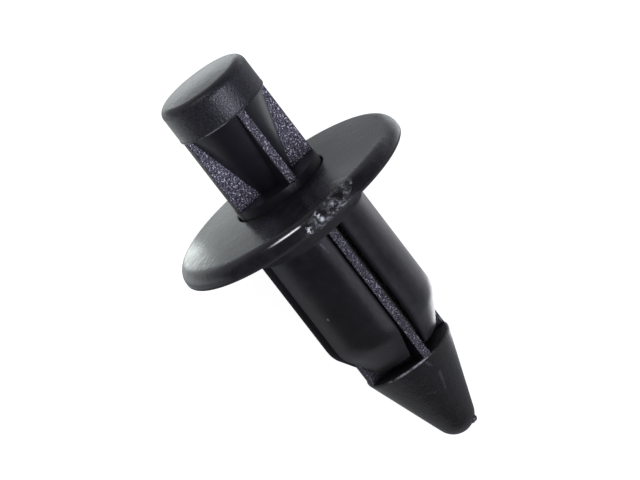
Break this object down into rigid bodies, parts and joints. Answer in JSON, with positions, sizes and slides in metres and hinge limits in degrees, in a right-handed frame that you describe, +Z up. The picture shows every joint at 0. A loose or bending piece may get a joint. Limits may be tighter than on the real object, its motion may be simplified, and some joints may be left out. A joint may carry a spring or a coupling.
{
  "type": "plastic push rivet",
  "caption": "Plastic push rivet: a flanged sleeve with spreading slotted legs and a ribbed push pin with a round button and a cone tip.",
  "frame": {"origin": "centre of the bounding box in X and Y, on the surface that the rivet lies on", "axes": "+Z up; the rivet lies on the rim of its flange and the nose of its cone; +X towards the cone, and the rivet's axis runs down towards +X at about 21 degrees, in the XZ plane"},
  "size_m": [0.0276, 0.0166, 0.0156],
  "materials": {
    "sleeve_nylon": "black moulded nylon, satin",
    "pin_nylon": "black moulded nylon, satin, ribs spark-textured"
  },
  "bodies": {
    "sleeve": {"flanged_sleeve": "sleeve_nylon"},
    "pin": {"push_pin": "pin_nylon"}
  },
  "joints": [
    {"name": "pin_slide", "type": "slide", "parent": "sleeve", "child": "pin", "axis": [0.9298, 0, -0.3679], "range_m": [0, 0.00864]}
  ]
}
